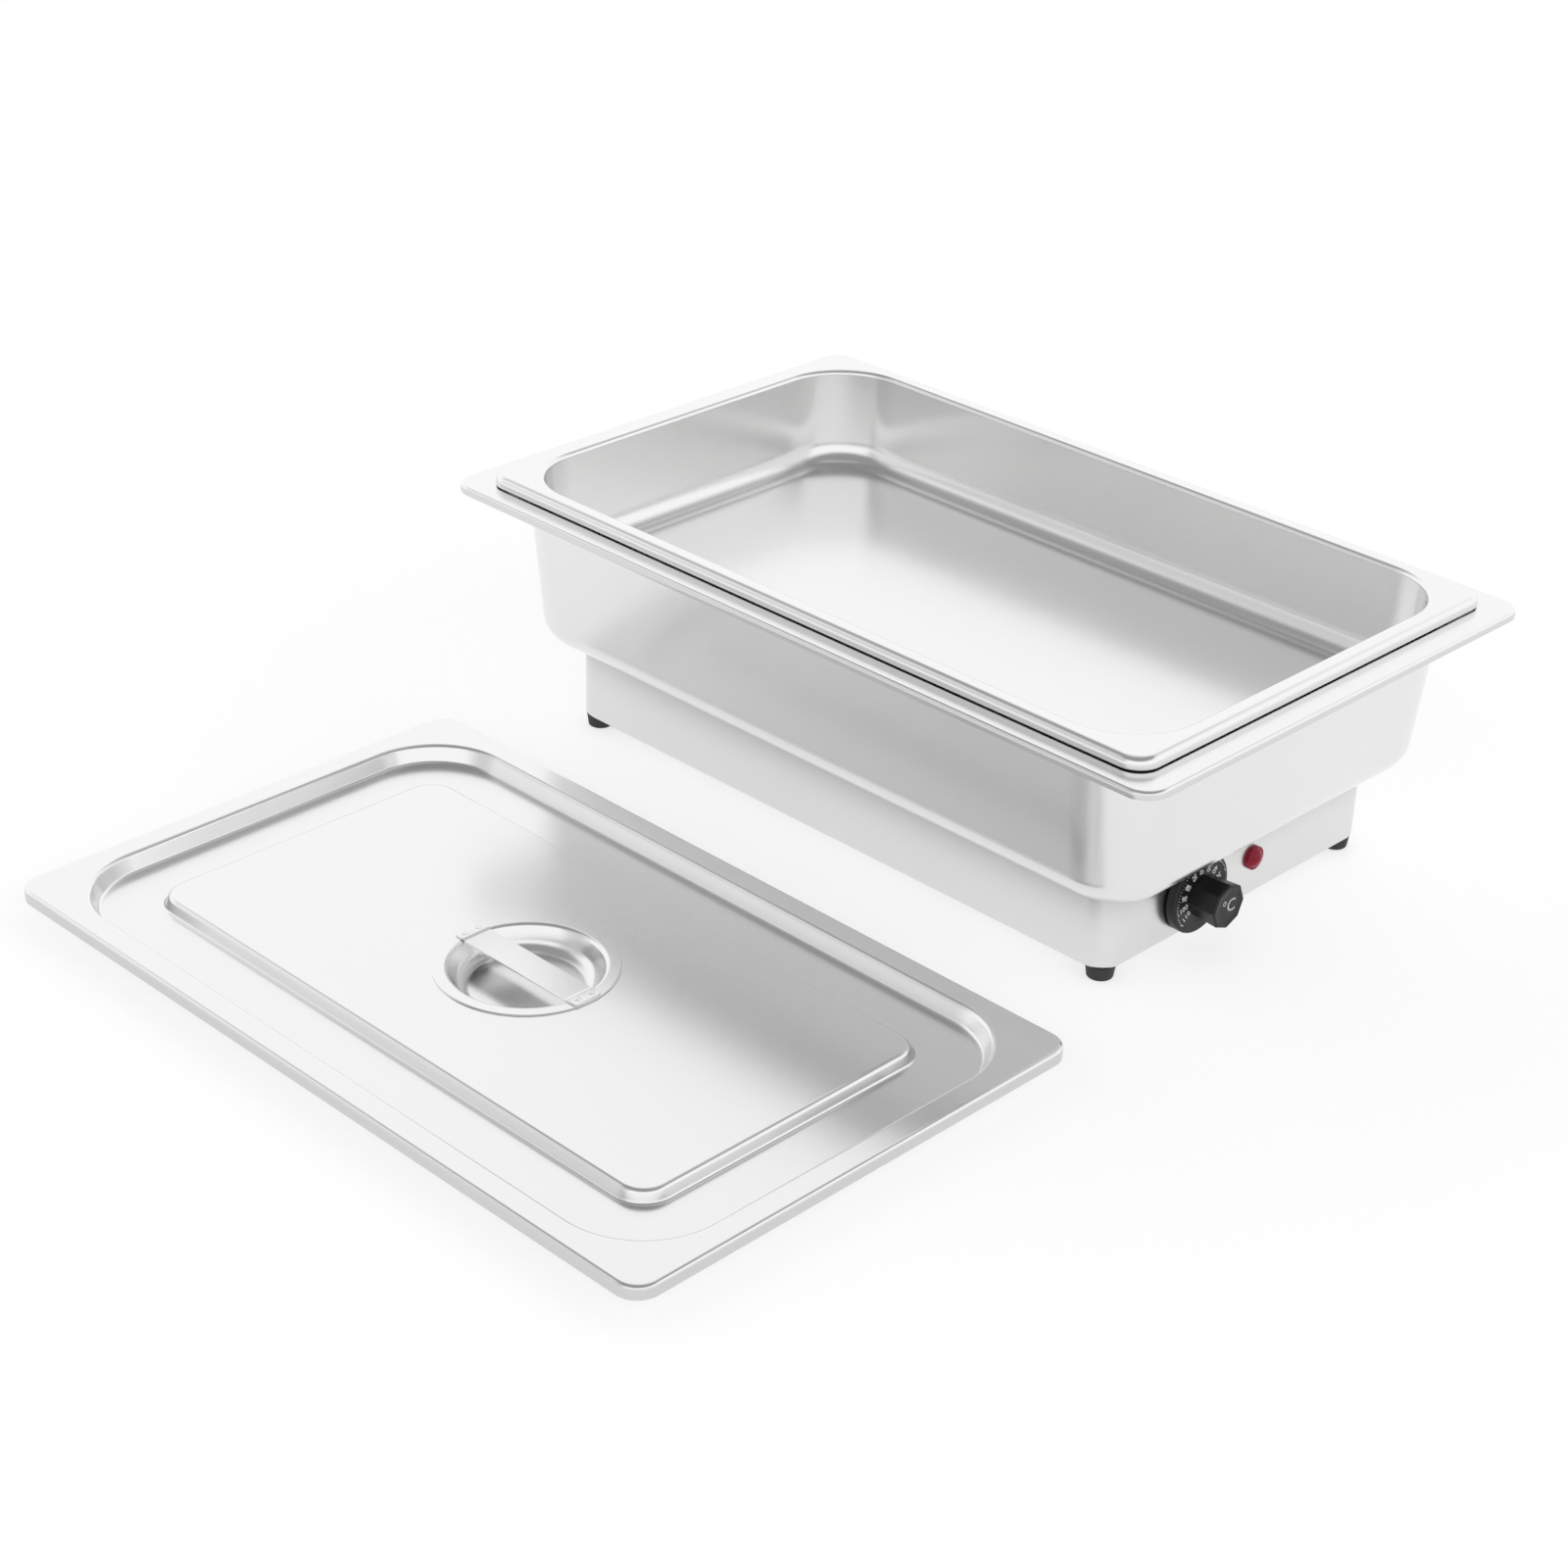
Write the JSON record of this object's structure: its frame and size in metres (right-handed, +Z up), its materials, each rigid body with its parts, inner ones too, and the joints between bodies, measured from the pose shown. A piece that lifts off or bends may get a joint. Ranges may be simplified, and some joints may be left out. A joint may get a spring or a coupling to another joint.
{
  "type": "electric chafing dish",
  "caption": "Rectangular electric chafing dish: heated water pan on a closed base with a dial and lamp, a lift-out food pan, and a loose recessed lid lying beside it.",
  "frame": {"origin": "on the table, under the centre of the dish", "axes": "+Z up; +X towards the short end with the knob; +Y towards the long side away from the lid"},
  "size_m": [0.566, 0.7015, 0.1748],
  "materials": {
    "satin_steel": "satin",
    "plain_steel": "plain mill finish",
    "plated_steel": "bright zinc plated",
    "element_steel": "heat-darkened",
    "black_rubber": "matte",
    "black_plastic": "satin moulded",
    "grey_plastic": "moulded",
    "brown_plastic": "moulded",
    "ivory_plastic": "moulded",
    "red_lens": "clear red, glossy",
    "brass": "plain",
    "copper": "drawn",
    "brown_sleeve": "silicone sleeve",
    "red_sleeve": "silicone sleeve",
    "blue_sleeve": "silicone sleeve",
    "green_sleeve": "silicone sleeve",
    "grey_sleeve": "silicone sleeve"
  },
  "bodies": {
    "base": {"water_pan": "satin_steel", "base_skirt": "satin_steel", "bottom_plate": "plain_steel", "clamp_bars": "plain_steel", "bulb_clips": "plain_steel", "cutout_strap": "plain_steel", "plate_screws": "plated_steel", "foot_screws": "plated_steel", "foot_nuts": "plated_steel", "thermostat_screws": "plated_steel", "element_pins": "plated_steel", "clamp_studs": "plated_steel", "clamp_nuts": "plated_steel", "lamp_ring": "plated_steel", "heating_element": "element_steel", "foot_knob_near": "black_rubber", "foot_knob_far": "black_rubber", "foot_gland_near": "black_rubber", "foot_gland_far": "black_rubber", "gland_body": "black_plastic", "gland_nut": "black_plastic", "thermostat_body": "grey_plastic", "thermal_cutout": "brown_plastic", "terminal_block": "ivory_plastic", "lamp_body": "ivory_plastic", "element_seals": "ivory_plastic", "lamp_lens": "red_lens", "terminal_screws": "brass", "earth_stud": "brass", "earth_nut": "brass", "capillary": "copper", "sensing_bulb": "copper", "wire_live": "brown_sleeve", "wire_switched": "red_sleeve", "wire_neutral": "blue_sleeve", "wire_link": "blue_sleeve", "wire_earth": "green_sleeve", "lamp_leads": "grey_sleeve"},
    "knob": {"control_knob": "black_plastic", "thermostat_spindle": "plated_steel"},
    "food_pan": {"food_pan": "satin_steel"},
    "lid": {"lid_panel": "satin_steel", "lid_cup": "satin_steel", "lid_strap": "satin_steel"}
  },
  "joints": [
    {"name": "knob_turn", "type": "hinge", "parent": "base", "child": "knob", "pos_m": [0.2235, -0.048, 0.0361], "axis": [-1, 0, 0], "range_deg": [0, 270]},
    {"name": "food_pan_lift", "type": "slide", "parent": "base", "child": "food_pan", "axis": [0, 0, 1], "range_m": [0, 0.25]},
    {"name": "lid_lift", "type": "slide", "parent": "base", "child": "lid", "axis": [0, 0, 1], "range_m": [0, 0.3]}
  ]
}
